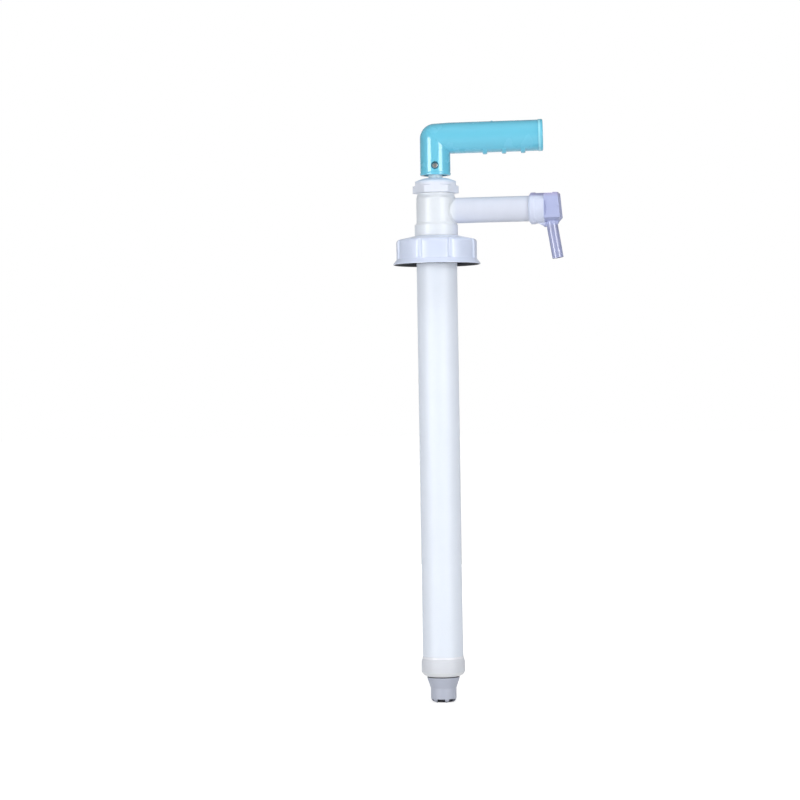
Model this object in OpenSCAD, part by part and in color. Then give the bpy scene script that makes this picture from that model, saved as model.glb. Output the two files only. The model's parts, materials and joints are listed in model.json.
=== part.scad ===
// Hand piston pump for emptying a drum. The origin is on the pump's axis, in the plane where
// the drum's mouth meets the gasket. The spout and the handle's grip point along +X.

/* [Barrel] */
// Length of the barrel tube with its two spigots
barrel_length = 281.6; // [150:0.1:900]
// Outside radius of the barrel tube
barrel_r = 12.95; // [12.6:0.05:13.8]
// Wall of the barrel tube
barrel_wall = 1.8; // [1.4:0.1:2.2]
// Step in radius where the tube is turned down for a spigot
spigot_step = 0.6; // [0.3:0.1:0.8]

/* [Drum cap] */
// Crest radius of the cap's thread, which is the root of the drum neck's thread
drum_thread_r = 22.4; // [21.8:0.1:30]
// Depth of the cap's thread
thread_depth = 1; // [0.6:0.1:1.2]
// Distance from one thread ring to the next
thread_pitch = 2.6; // [2.2:0.1:2.8]
// Number of thread rings in the cap
thread_turns = 3; // [1:1:3]
// Wall left behind a valley of the cap
cap_wall = 1.2; // [0.8:0.1:2.5]
// Depth of the valleys between the lobes
valley_depth = 1.2; // [0.5:0.1:2]
// Radius of the round that cuts a valley
valley_r = 2.4; // [1.5:0.1:6]
// Number of lobes round the cap
lobe_count = 8; // [5:1:10]
// Angle of the first valley as the cap stands at rest
cap_turn = 28.5; // [0:0.5:45]
// How far the cap reaches below the drum's mouth
cap_drop = 11.2; // [10.8:0.1:20]
// Height of the flared rim
flare_height = 3.3; // [2.6:0.1:3.4]
// How far the flared rim stands out
flare_reach = 2.1; // [1.4:0.1:3]
// Thickness of the cap's top plate at its hole
cap_plate_t = 2.4; // [1.8:0.1:4]
// How far the top plate slopes down to the shoulder
crown_drop = 2; // [1:0.1:2.2]
// Rounding of the cap's shoulder
shoulder_r = 2.2; // [1:0.1:3]

/* [Drum gasket and flange] */
// Thickness of the drum gasket
gasket_t = 2.5; // [1.5:0.1:4]
// Thickness of the clamp flange
flange_t = 1.8; // [1.2:0.1:3]
// Width of the clamp flange round the barrel
flange_width = 6.65; // [4:0.05:7.5]
// Axial play in which the cap turns
swivel_play = 0.2; // [0.1:0.05:0.4]

/* [Head] */
// Wall of the head round the barrel's spigot
head_wall = 1.45; // [1.2:0.05:3]
// Depth of the head's socket for the barrel
socket_depth = 6.4; // [5:0.1:12]
// Thickness of the seal at the bottom of that socket
head_seal_t = 1.2; // [0.8:0.1:2]
// How far the head's lower collar stands out from its body
head_step = 1.3; // [0.6:0.1:1.4]
// Height of the cone from collar to body
head_cone_height = 1.8; // [1:0.1:4]
// Height of the head's round body above that cone
head_body_height = 15.4; // [14:0.1:40]
// How far the neck is set in from the body
neck_step = 0.7; // [0.5:0.1:1.2]
// Height of the shoulder from body to neck
neck_shoulder_height = 1.9; // [1:0.1:3]
// Thickness of the head's roof under the packing
roof_t = 2.5; // [2:0.1:5]
// Depth of the packing pocket in the neck
pocket_depth = 7.2; // [7:0.1:14]
// Radius of the spout pipe
spout_r = 8.15; // [6.8:0.05:9]
// Wall of the spout pipe
spout_wall = 2.15; // [1.5:0.05:3]
// Reach of the spout pipe from the pump's axis
spout_reach = 71.2; // [50:0.1:150]

/* [Gland] */
// Width of the packing and bush round the rod
packing_width = 3.5; // [2.5:0.1:3.8]
// Height of the bush that guides the rod
guide_t = 3.5; // [2.5:0.1:4]
// Height of the packing
packing_t = 3; // [2:0.1:3.5]
// Depth of the neck's thread
neck_thread_depth = 0.45; // [0.3:0.05:0.6]
// Distance from one neck thread ring to the next
neck_pitch = 1.8; // [1.6:0.1:1.9]
// Wall of the gland nut at the middle of a flat
nut_wall = 1.75; // [1.2:0.05:4]
// Height of the gland nut
nut_height = 9.4; // [8.6:0.1:11]
// Height of the gland nut's hexagon, below its turned shoulder
nut_hexagon_height = 4.9; // [3:0.1:5.5]
// Thickness of the gland nut's top
nut_plate_t = 3.2; // [2.8:0.1:4]
// Radius of the nut's domed top
nut_dome_r = 31; // [20:0.5:60]
// Radius of the flat on top of the dome
nut_crown_r = 8; // [6.5:0.1:9]
// Angle to which the nut is tightened
nut_turn = 9.5; // [0:0.5:60]

/* [Nozzle] */
// Depth of the nozzle's socket over the spout pipe
nozzle_socket_depth = 11.3; // [8:0.1:25]
// Wall of the nozzle's socket
nozzle_wall = 1.55; // [0.8:0.05:2]
// How far the bead at the socket's mouth stands out
nozzle_bead = 0.35; // [0.2:0.05:1.5]
// Depth of the nozzle's block from front to back
block_depth = 17; // [12:0.1:19]
// Width of the nozzle's block along the spout
block_width = 8.8; // [7.5:0.1:14]
// Height of the block above the spout's axis
block_rise = 9.1; // [9:0.1:14]
// Drop of the block below the spout's axis
block_drop = 12; // [11:0.1:18]
// Tilt of the outlet tube away from the pump
outlet_tilt = 9.2; // [0:0.1:20]
// Radius of the outlet tube
outlet_r = 3.6; // [2.4:0.05:3.8]
// Wall of the outlet tube
outlet_wall = 0.9; // [0.6:0.05:1.2]
// Drop of the outlet tube's end below the spout's axis
outlet_drop = 31.8; // [20:0.1:80]

/* [Handle] */
// Radius of the handle's leg and elbow
handle_r = 9.5; // [9:0.05:12]
// How much thicker the grip is than the leg, in radius
grip_swell = 0.35; // [0:0.05:0.6]
// Angle of the grip from the spout as it stands at rest
handle_turn = 7; // [0:0.5:45]
// Angle by which the grip rises towards its end
grip_rise = 0.8; // [0:0.1:5]
// Wall of the handle
handle_wall = 2; // [1.4:0.1:2.2]
// Height of the grip's axis above the leg's lower end
leg_height = 23.65; // [22:0.05:60]
// Gap between the leg and the gland nut with the pump pushed down
rest_gap = 2.05; // [0.5:0.05:5]
// Reach of the grip's end from the pump's axis
grip_reach = 69; // [60:0.1:120]
// Thickness of the end cap's flange
end_cap_t = 3; // [2:0.1:5]
// How far the end cap's flange stands out
end_cap_lip = 0.4; // [0.2:0.1:1]
// Number of finger ribs under the grip
finger_rib_count = 3; // [1:1:3]
// Distance from one finger rib to the next
finger_rib_pitch = 12.2; // [8:0.1:14]
// How far a finger rib stands out under the grip
finger_rib_height = 1.3; // [0.5:0.1:2]
// Height of the screw above the leg's lower end
screw_rise = 5.9; // [4.5:0.05:8]

/* [Rod and piston] */
// Radius of the pump rod
rod_r = 4.5; // [3.5:0.1:4.8]
// Length of rod held in the handle
rod_grip = 15.15; // [12:0.05:16]
// Radial gap between the piston and the barrel
piston_gap = 0.55; // [0.4:0.05:0.7]
// Height of the piston's body
piston_height = 8.5; // [8:0.1:16]
// Height of the seal ring's groove
piston_groove = 3; // [2:0.1:3.5]
// Depth of the seal ring's groove
piston_groove_depth = 1.8; // [1.2:0.1:2]
// Radius of the piston's valve ball
piston_ball_r = 4; // [3.5:0.1:4.2]
// Lift of the piston's valve ball
piston_ball_lift = 3; // [2:0.1:5]
// Radius of the cross pin through rod and piston
pin_r = 1; // [0.8:0.1:1.3]

/* [Foot valve] */
// Wall of the foot collar round the barrel's spigot
collar_wall = 1.5; // [1.2:0.1:3]
// Height of the foot collar
collar_height = 11.2; // [10.5:0.1:20]
// Thickness of the foot collar's floor
collar_floor = 2; // [1.5:0.1:4]
// Thickness of the gasket between collar and intake
collar_gasket_t = 0.8; // [0.5:0.1:1.5]
// Thickness of the foot gasket
foot_gasket_t = 1; // [0.6:0.1:2]
// Thickness of the intake's flange
intake_flange_t = 2; // [1.8:0.1:4]
// Largest radius of the intake below the collar
intake_top_r = 10.4; // [9.6:0.1:10.6]
// Radius of the intake's straight lower end
intake_r = 8.2; // [7.8:0.1:8.8]
// Height of the intake's taper
intake_taper = 6.9; // [5:0.1:10]
// Height of the intake below its taper
intake_tail = 9.2; // [8.6:0.1:20]
// Rounding of the intake's lower edge
intake_round = 3.2; // [1.5:0.1:3.2]
// Number of slots across the intake's lower end, which leave twice as many teeth
slot_count = 3; // [1:1:4]
// Width of a slot
slot_width = 5.4; // [1:0.1:5.8]
// Height of a slot
slot_height = 2.4; // [2:0.1:4]
// Radius of the foot valve's ball
foot_ball_r = 4.75; // [4:0.05:5]
// Lift of the foot valve's ball
foot_ball_lift = 4; // [2:0.1:4.5]

/* [Hidden] */
$fn = 96;

// How far a cut runs past the face that it opens
overrun = 1;
// Gap between glued or tight parts, and between parts that slide or turn on each other
glue_gap = 0.05;
slide_gap = 0.05;
seal_gap = 0.03;
// Gap between moving parts that only pass each other
free_gap = 0.3;
// Steps in a rounded corner of an outline
round_steps = 6;
// Break on sharp moulded edges
edge_break = 0.5;
// How far a thread ring bites into the wall that carries it
thread_bite = 0.3;

// Heights of the stack between the drum's mouth and the head
flange_low = gasket_t;
flange_top = flange_low + flange_t;
cap_ceiling = flange_top + swivel_play;
cap_top = cap_ceiling + cap_plate_t;
head_low = cap_top + swivel_play;
head_ledge = head_low + socket_depth;
barrel_top = head_ledge - head_seal_t;
barrel_low = barrel_top - barrel_length;
barrel_bore = barrel_r - barrel_wall;
spigot_r = barrel_r - spigot_step;
socket_r = spigot_r + glue_gap;

// Cap radii
cap_inner_r = drum_thread_r + thread_depth;
cap_r = cap_inner_r + cap_wall + valley_depth;
cap_hole_r = barrel_r + free_gap;
rim_r = cap_r + flare_reach;
cap_low = -cap_drop;
flare_top = cap_low + flare_height;
flange_r = barrel_r + flange_width;
flange_pocket_r = flange_r + free_gap;
gasket_r = drum_thread_r - swivel_play;
gasket_ceiling = gasket_t + swivel_play;
crown_width = 1.75;
valley_land = 0.3;
thread_start = 1.4;
thread_base = 1.6;
thread_crest = 0.8;
rim_edge = 0.6;
rim_seal_top = flare_top - free_gap;
rim_seal_top_width = 0.8;
rim_seal_lip = 0.1;
rim_seal_hang = 0.2;
rim_seal_low = cap_low - rim_seal_hang;
rim_seal_bore = cap_inner_r + rim_seal_lip;
rim_seal_r = rim_r - rim_edge - glue_gap;
rim_seal_top_r = cap_inner_r + rim_seal_top_width - glue_gap;
rim_seal_foot = 0.95;
rim_seal_recess_share = 0.4;
rim_seal_recess_z = cap_low + (rim_seal_top - cap_low) * rim_seal_recess_share;
rim_seal_wall_r = rim_seal_r + (rim_seal_top_r - rim_seal_r) * rim_seal_recess_share;
rim_seal_land_share = 0.6;
rim_seal_land_r = rim_seal_bore + (rim_seal_wall_r - rim_seal_bore) * rim_seal_land_share;

// Head heights and radii
collar_r = socket_r + head_wall;
socket_cover = 0.3;
head_collar_top = head_ledge + socket_cover;
head_cone_top = head_collar_top + head_cone_height;
head_body_top = head_cone_top + head_body_height;
head_body_r = collar_r - head_step;
head_neck_r = head_body_r - neck_step;
neck_low = head_body_top + neck_shoulder_height;
chamber_cover = 0.5;
chamber_top = head_body_top - chamber_cover;
pocket_low = chamber_top + roof_t;
neck_top = pocket_low + pocket_depth;
spout_height_share = 0.48;
spout_z = head_cone_top + head_body_height * spout_height_share;
spout_bore = spout_r - spout_wall;

// Gland
pocket_r = rod_r + packing_width;
neck_relief = 0.8;
neck_root_r = head_neck_r - neck_thread_depth - neck_relief;
neck_crest_r = neck_root_r + neck_thread_depth;
neck_thread_gap = 0.15;
neck_thread_base = 0.9;
neck_thread_tip = 0.4;
nut_bore = neck_crest_r + neck_thread_gap;
nut_flat_r = nut_bore + nut_wall;
nut_sides = 6;
nut_corner_r = nut_flat_r / cos(180 / nut_sides);
nut_ceiling = neck_top + free_gap;
nut_top = nut_ceiling + nut_plate_t;
nut_low = nut_top - nut_height;
nut_dome_z = nut_top - sqrt(pow(nut_dome_r, 2) - pow(nut_crown_r, 2));
nut_corner_trim = 0.25;
nut_round_r = nut_corner_r - nut_corner_trim;
nut_shoulder_margin = 0.15;
nut_shoulder_r = nut_flat_r + nut_shoulder_margin;
nut_shoulder_slope = 0.4;
nut_shoulder_z = nut_low + nut_hexagon_height;
packing_low = pocket_low + guide_t;
packing_top = packing_low + packing_t;
roof_hole_gap = 0.5;

// Nozzle
nozzle_end_gap = 0.3;
nozzle_bore = spout_r + slide_gap;
nozzle_r = nozzle_bore + nozzle_wall;
nozzle_floor = spout_reach + nozzle_end_gap;
nozzle_mouth = nozzle_floor - nozzle_socket_depth;
bead_rise = 1.2;
bead_start = nozzle_mouth + bead_rise;
bead_width = 2.4;
bead_end = bead_start + bead_width;
bead_fall = 0.8;
block_inset = 1.3;
block_left = nozzle_floor - block_inset;
block_right = block_left + block_width;
block_bulge = 1.4;
block_shoulder_drop = 5.8;
block_chin_drop = 10.1;
block_waist_drop = 6.4;
block_web_drop = 8.6;
block_web = 5.2;
block_chin_inset = 0.7;
block_foot_reach = 0.4;
block_toe_reach = 1.3;
block_toe_rise = 0.8;
block_lip_width = 3.2;
block_lip_height = 0.4;
gusset_reach = 4.6;
gusset_inset = 0.3;
outlet_back = 2.5;
outlet_x = (nozzle_floor + block_right) / 2 - outlet_back;
outlet_bore = outlet_r - outlet_wall;
outlet_length = outlet_drop / cos(outlet_tilt);
outlet_root_step = 0.6;
outlet_root_r = outlet_r + outlet_root_step;
outlet_root_cover = 0.5;
outlet_root_end = (block_drop + outlet_root_cover) / cos(outlet_tilt);
nozzle_chamber_r = spout_bore - edge_break;
nozzle_chamber_end = outlet_x + outlet_bore;
nozzle_edge = 0.3;

// Handle
leg_low = nut_top + rest_gap;
grip_z = leg_low + leg_height;
grip_r = handle_r + grip_swell;
handle_bore = handle_r - handle_wall;
rod_top = leg_low + rod_grip;
boss_wall = 1.9;
boss_r = rod_r + slide_gap + boss_wall;
boss_recess = 0.8;
boss_roof = 0.6;
leg_cavity_top = rod_top + boss_roof;
grip_cavity_start = handle_r + handle_wall;
grip_end = grip_reach - end_cap_t;
web_t = 1.4;
web_count = 4;
leg_bead = 0.3;
leg_bead_height = 1.8;
end_plug_length = 6;
end_plug_start = grip_end - end_plug_length;
end_plug_r = handle_bore - glue_gap;
end_cap_r = grip_r + end_cap_lip;
end_plug_wall = 1.5;
end_round = 0.8;
finger_rib_width = 3;
finger_rib_r = 7;
finger_rib_z = finger_rib_r - grip_r - finger_rib_height;
finger_rib_shares = [-1, 0, 1];
finger_rib_shift = 5.2;
finger_rib_middle = (grip_cavity_start + grip_end) / 2 + finger_rib_shift;
screw_z = leg_low + screw_rise;
screw_r = 1.2;
screw_hole_r = screw_r + slide_gap;
screw_head_r = 2.1;
screw_head_t = 1.3;
screw_head_round = 0.9;
screw_head_flat = screw_head_r - screw_head_round;
screw_recess = 2.7;
screw_recess_r = screw_head_r + free_gap;
screw_boss_wall = 0.9;
screw_seat_y = -(handle_r - screw_recess);
screw_end_y = boss_r - edge_break;
screw_length = screw_end_y - screw_seat_y;
screw_slot_width = 0.7;
screw_slot_length = 2.4;
screw_slot_depth = 0.8;
screw_slot_floor = screw_head_t - screw_slot_depth;

// Piston, from the foot gasket upwards
piston_r = barrel_bore - piston_gap;
piston_low = barrel_low + free_gap;
piston_top = piston_low + piston_height;
stop_lip = 0.4;
head_bore = piston_r - stop_lip;
groove_floor = 2.8;
groove_low = piston_low + groove_floor;
groove_r = piston_r - piston_groove_depth;
seat_land = 0.35;
piston_seat_r = piston_ball_r * cos(45) - seat_land;
seat_web = 1.5;
piston_seat_z = piston_low + seat_web;
piston_cone_margin = 0.6;
piston_cone_top_r = piston_ball_r + piston_cone_margin;
piston_cone_top = piston_seat_z + piston_cone_top_r - piston_seat_r;
ball_seat_gap = 0.04;
piston_ball_z = piston_seat_z + 2 * piston_ball_r * cos(45) - piston_seat_r + ball_seat_gap;
ball_room = 1.2;
cage_bore = piston_ball_r + ball_room;
cage_wall = 1.5;
cage_skirt_r = cage_bore + cage_wall;
cage_skirt_low = piston_cone_top + edge_break;
cage_stop = piston_ball_z + piston_ball_r + piston_ball_lift + free_gap / 2;
cage_web = 1.8;
cage_socket_floor = cage_stop + cage_web;
cage_socket_depth = 9.4;
cage_top = cage_socket_floor + cage_socket_depth;
cage_socket_wall = 2.9;
cage_r = max(rod_r + cage_socket_wall, cage_skirt_r + edge_break);
window_count = 4;
window_width = 4.4;
rod_low = cage_socket_floor + glue_gap;
pin_z = cage_socket_floor + cage_socket_depth / 2;
pin_gap = 0.02;
rod_chamfer = 0.5;

// Foot valve, from the barrel's lower end downwards
foot_gasket_low = barrel_low - foot_gasket_t;
intake_flange_low = foot_gasket_low - intake_flange_t;
collar_low = intake_flange_low - collar_floor;
collar_top = collar_low + collar_height;
foot_collar_r = socket_r + collar_wall;
collar_lip = 0.5;
collar_lip_height = 0.8;
collar_lower_chamfer = 1.4;
collar_chamfer_rise = 1.9;
collar_upper_chamfer = 1.6;
collar_upper_inset = 0.6;
intake_neck_step = 0.5;
intake_neck_r = intake_top_r - intake_neck_step;
collar_hole_gap = 0.1;
collar_hole_r = intake_top_r + collar_hole_gap;
intake_shoulder = collar_low - collar_gasket_t;
collar_gasket_inset = 0.2;
collar_gasket_width = 1.3;
collar_gasket_r = intake_top_r - collar_gasket_inset;
collar_gasket_bore = collar_gasket_r - collar_gasket_width;
intake_flange_r = spigot_r - free_gap / 2;
taper_low = intake_shoulder - intake_taper;
intake_low = taper_low - intake_tail;
cage_seat_depth = 1.7;
cage_seat_z = foot_gasket_low - cage_seat_depth;
cage_rim_wall = 0.2;
foot_cage_r = intake_neck_r - cage_rim_wall - slide_gap;
gasket_lap = 0.6;
foot_gasket_bore = foot_cage_r - gasket_lap;
foot_ball_room = 1.45;
ball_channel_r = foot_ball_r + foot_ball_room;
foot_seat_r = foot_ball_r * cos(45) - seat_land;
foot_ball_z = cage_seat_z - foot_ball_r - foot_ball_lift - free_gap / 2;
foot_seat_z = foot_ball_z - ball_seat_gap - 2 * foot_ball_r * cos(45) + foot_seat_r;
foot_cone_top = foot_seat_z + ball_channel_r - foot_seat_r;
intake_wall = 2.35;
inlet_ring_wall = 1.25;
inlet_ring_r = intake_r - intake_wall;
inlet_ring_inset = 0.4;
inlet_ring_hold = 1.3;
inlet_ring_top = intake_low + slot_height + inlet_ring_hold;
inlet_bore = inlet_ring_r - inlet_ring_wall;
inlet_top = foot_seat_z - seat_web;
slot_turn = 24.5;
foot_hole_count = 6;
foot_hole_r = 1.5;
foot_hole_pitch_r = foot_ball_r;

// Points round a corner of an outline
function arc(x, y, r, from, to) = [
    for (i = [0 : round_steps])
        let (angle = from + (to - from) * i / round_steps)
            [x + r * cos(angle), y + r * sin(angle)]
];

// Ring between two heights
module ring(outer, inner, low, top) {
    translate([0, 0, low]) difference() {
        cylinder(r = outer, h = top - low);
        translate([0, 0, -overrun]) cylinder(r = inner, h = top - low + 2 * overrun);
    }
}

// Round post between two heights, solid or as a cut
module post(r, low, top) {
    translate([0, 0, low]) cylinder(r = r, h = top - low);
}

// Thread stood in for by rings that point inwards from a wall
module inner_thread_ring(wall_r, crest_r, base, tip, z) {
    rotate_extrude() polygon([
        [wall_r + thread_bite, z - base / 2],
        [wall_r, z - base / 2],
        [crest_r, z - tip / 2],
        [crest_r, z + tip / 2],
        [wall_r, z + base / 2],
        [wall_r + thread_bite, z + base / 2]
    ]);
}

// Thread stood in for by rings that point outwards from a core
module outer_thread_ring(core_r, crest_r, base, tip, z) {
    rotate_extrude() polygon([
        [core_r - thread_bite, z - base / 2],
        [core_r, z - base / 2],
        [crest_r, z - tip / 2],
        [crest_r, z + tip / 2],
        [core_r, z + base / 2],
        [core_r - thread_bite, z + base / 2]
    ]);
}

// Cylinder along +X, which the spout, nozzle and grip are made of
module bar_x(r, from, to) {
    translate([from, 0, 0]) rotate([0, 90, 0]) cylinder(r = r, h = to - from);
}

module barrel_tube() {
    color("aliceblue") difference() {
        union() {
            post(spigot_r, barrel_low, barrel_top);
            post(barrel_r, collar_top, head_low);
        }
        post(barrel_bore, barrel_low - overrun, barrel_top + overrun);
    }
}

// Solid outline of the cap before it is hollowed
module cap_outline() {
    rotate_extrude() polygon(concat(
        [[0, cap_low], [rim_r, cap_low], [rim_r, cap_low + edge_break], [cap_r, flare_top]],
        arc(cap_r - shoulder_r, cap_top - crown_drop - shoulder_r, shoulder_r, 0, 90),
        [[cap_hole_r + crown_width, cap_top], [0, cap_top]]
    ));
}

module cap_hollow() {
    rotate_extrude() polygon([
        [0, cap_low - overrun],
        [rim_r - rim_edge, cap_low - overrun],
        [rim_r - rim_edge, cap_low],
        [cap_inner_r + rim_seal_top_width, rim_seal_top],
        [cap_inner_r, rim_seal_top],
        [cap_inner_r, gasket_ceiling],
        [flange_pocket_r, gasket_ceiling],
        [flange_pocket_r, cap_ceiling],
        [cap_hole_r, cap_ceiling],
        [cap_hole_r, cap_top + overrun],
        [0, cap_top + overrun]
    ]);
}

module drum_cap() {
    color("lavender") {
        difference() {
            cap_outline();
            for (i = [0 : lobe_count - 1])
                rotate([0, 0, cap_turn + i * 360 / lobe_count])
                    translate([cap_r - valley_depth + valley_r, 0, 0])
                        post(valley_r, flare_top + valley_land, cap_top + overrun);
            cap_hollow();
        }
        for (i = [0 : thread_turns - 1])
            inner_thread_ring(
                cap_inner_r, drum_thread_r, thread_base, thread_crest, -thread_start - i * thread_pitch
            );
    }
}

module cap_rim_seal() {
    color("dimgray") rotate_extrude() polygon([
        [rim_seal_bore, rim_seal_recess_z],
        [rim_seal_land_r, rim_seal_recess_z],
        [rim_seal_r - rim_seal_foot, rim_seal_low],
        [rim_seal_r, rim_seal_low],
        [rim_seal_r, cap_low],
        [rim_seal_top_r, rim_seal_top - glue_gap],
        [rim_seal_bore, rim_seal_top - glue_gap]
    ]);
}

module clamp_flange() {
    color("whitesmoke") ring(flange_r, barrel_r + glue_gap, flange_low, flange_top);
}

module drum_gasket() {
    color("dimgray") ring(gasket_r, barrel_r + glue_gap, 0, gasket_t);
}

module head_outline() {
    rotate_extrude() polygon([
        [0, head_low],
        [collar_r, head_low],
        [collar_r, head_collar_top],
        [head_body_r, head_cone_top],
        [head_body_r, head_body_top],
        [head_neck_r, neck_low],
        [head_neck_r, nut_low - glue_gap],
        [neck_root_r, nut_low - glue_gap],
        [neck_root_r, neck_top - edge_break],
        [neck_root_r - edge_break, neck_top],
        [0, neck_top]
    ]);
}

module pump_head() {
    color("ivory") difference() {
        union() {
            head_outline();
            translate([0, 0, spout_z]) bar_x(spout_r, 0, spout_reach);
            for (z = [nut_low + neck_pitch / 2 : neck_pitch : neck_top - neck_pitch / 2])
                outer_thread_ring(neck_root_r, neck_crest_r, neck_thread_base, neck_thread_tip, z);
        }
        post(socket_r, head_low - overrun, head_ledge);
        post(head_bore, head_low, chamber_top);
        post(rod_r + roof_hole_gap, head_low, neck_top);
        post(pocket_r, pocket_low, neck_top + overrun);
        translate([0, 0, spout_z]) bar_x(spout_bore, 0, spout_reach + overrun);
    }
}

module head_seal() {
    color("dimgray") ring(spigot_r, barrel_bore, barrel_top, head_ledge);
}

module rod_guide() {
    color("white") ring(pocket_r - glue_gap, rod_r + slide_gap, pocket_low, packing_low);
}

module gland_packing() {
    color("dimgray") ring(pocket_r - glue_gap, rod_r + seal_gap, packing_low, packing_top);
}

module gland_nut() {
    color("white") {
        difference() {
            intersection() {
                rotate([0, 0, nut_turn]) translate([0, 0, nut_low])
                    cylinder(r = nut_corner_r, h = nut_height, $fn = nut_sides);
                rotate_extrude() polygon([
                    [0, nut_low],
                    [nut_round_r, nut_low],
                    [nut_round_r, nut_shoulder_z - nut_shoulder_slope],
                    [nut_shoulder_r, nut_shoulder_z],
                    [nut_shoulder_r, nut_top],
                    [0, nut_top]
                ]);
                translate([0, 0, nut_dome_z]) sphere(r = nut_dome_r);
            }
            post(nut_bore, nut_low - overrun, nut_ceiling);
            post(rod_r + free_gap, nut_low, nut_top + overrun);
        }
        ring(pocket_r - free_gap, rod_r + free_gap, packing_top, nut_ceiling + edge_break);
        for (z = [nut_low + neck_pitch : neck_pitch : neck_top - neck_pitch])
            inner_thread_ring(
                nut_bore, neck_root_r + neck_thread_gap, neck_thread_base, neck_thread_tip, z
            );
    }
}

// Side outline of the nozzle's block, along the spout and up
module block_outline() {
    polygon([
        [block_left, block_rise],
        [block_right - block_lip_width, block_rise],
        [block_right - block_lip_width, block_rise + block_lip_height],
        [block_right, block_rise + block_lip_height],
        [block_right + block_bulge, -block_shoulder_drop],
        [block_right - block_chin_inset, -block_chin_drop],
        [block_left - block_foot_reach, -block_drop],
        [block_left - block_toe_reach, -block_drop + block_toe_rise],
        [block_left - gusset_reach, -nozzle_r + gusset_inset],
        [block_left, -nozzle_r + gusset_inset]
    ]);
}

// Outline of the nozzle's block from the spout's end: full depth above, a web below
module block_front() {
    polygon([
        [-block_depth / 2, block_rise + block_lip_height + overrun],
        [-block_depth / 2, -block_waist_drop],
        [-block_web / 2, -block_web_drop],
        [-block_web / 2, -block_drop - overrun],
        [block_web / 2, -block_drop - overrun],
        [block_web / 2, -block_web_drop],
        [block_depth / 2, -block_waist_drop],
        [block_depth / 2, block_rise + block_lip_height + overrun]
    ]);
}

module nozzle_block() {
    intersection() {
        rotate([90, 0, 0]) linear_extrude(height = block_depth + overrun, center = true) block_outline();
        rotate([90, 0, 90]) translate([0, 0, block_left - gusset_reach - overrun])
            linear_extrude(height = gusset_reach + block_width + block_bulge + 2 * overrun) block_front();
    }
}

// Body of the nozzle with the spout's axis at its origin's height
module nozzle_outline() {
    rotate([0, 90, 0]) rotate_extrude() polygon([
        [0, nozzle_mouth],
        [nozzle_bore + nozzle_edge, nozzle_mouth],
        [nozzle_r + nozzle_bead, bead_start],
        [nozzle_r + nozzle_bead, bead_end],
        [nozzle_r, bead_end + bead_fall],
        [nozzle_r, block_left + edge_break],
        [0, block_left + edge_break]
    ]);
    nozzle_block();
    translate([outlet_x, 0, 0]) rotate([0, 180 - outlet_tilt, 0]) rotate_extrude() polygon([
        [0, 0],
        [outlet_root_r, 0],
        [outlet_r, outlet_root_end],
        [outlet_r, outlet_length],
        [0, outlet_length]
    ]);
}

module spout_nozzle() {
    color("lightsteelblue") translate([0, 0, spout_z]) difference() {
        nozzle_outline();
        bar_x(nozzle_bore, nozzle_mouth - overrun, nozzle_floor);
        bar_x(nozzle_chamber_r, nozzle_mouth, nozzle_chamber_end);
        translate([outlet_x, 0, 0]) rotate([0, 180 - outlet_tilt, 0])
            cylinder(r = outlet_bore, h = outlet_length + overrun);
    }
}

module finger_rib() {
    rotate([0, 90, 0]) rotate_extrude() polygon([
        [0, -finger_rib_width / 2],
        [finger_rib_r - edge_break, -finger_rib_width / 2],
        [finger_rib_r, -finger_rib_width / 2 + edge_break],
        [finger_rib_r, finger_rib_width / 2 - edge_break],
        [finger_rib_r - edge_break, finger_rib_width / 2],
        [0, finger_rib_width / 2]
    ]);
}

// Places its children, built along X from the axis, along the grip
module along_grip() {
    translate([0, 0, grip_z]) rotate([0, -grip_rise, 0]) children();
}

module handle_outline() {
    post(handle_r, leg_low + edge_break, grip_z);
    rotate_extrude() polygon([
        [0, leg_low],
        [handle_r, leg_low],
        [handle_r + leg_bead, leg_low + edge_break],
        [handle_r + leg_bead, leg_low + leg_bead_height - edge_break],
        [handle_r, leg_low + leg_bead_height],
        [0, leg_low + leg_bead_height]
    ]);
    along_grip() {
        sphere(r = handle_r);
        rotate([0, 90, 0]) cylinder(r1 = handle_r, r2 = grip_r, h = handle_r);
        bar_x(grip_r, handle_r, grip_end);
        for (i = [0 : finger_rib_count - 1])
            translate([finger_rib_middle + finger_rib_shares[i] * finger_rib_pitch, 0, finger_rib_z])
                finger_rib();
    }
}

// Boss for the rod, its webs and the boss for the screw
module handle_core() {
    post(boss_r, leg_low + boss_recess, leg_cavity_top + overrun);
    for (i = [0 : web_count - 1])
        rotate([0, 0, 45 + i * 360 / web_count])
            translate([rod_r + glue_gap, -web_t / 2, leg_low + boss_recess])
                cube([handle_bore - rod_r + edge_break, web_t, leg_cavity_top - leg_low]);
    translate([0, -rod_r - edge_break, screw_z]) rotate([90, 0, 0])
        cylinder(r = screw_recess_r + screw_boss_wall, h = handle_bore - rod_r);
}

module handle() {
    color("skyblue") rotate([0, 0, handle_turn]) difference() {
        union() {
            difference() {
                handle_outline();
                post(handle_bore, leg_low - overrun, leg_cavity_top);
                along_grip() bar_x(handle_bore, grip_cavity_start, grip_end + overrun);
            }
            handle_core();
        }
        post(rod_r + slide_gap, leg_low - overrun, rod_top + glue_gap);
        translate([0, screw_end_y + glue_gap, screw_z]) rotate([90, 0, 0])
            cylinder(r = screw_hole_r, h = screw_end_y + handle_r + overrun);
        translate([0, screw_seat_y, screw_z]) rotate([90, 0, 0])
            cylinder(r = screw_recess_r, h = screw_recess + overrun);
    }
}

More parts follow.
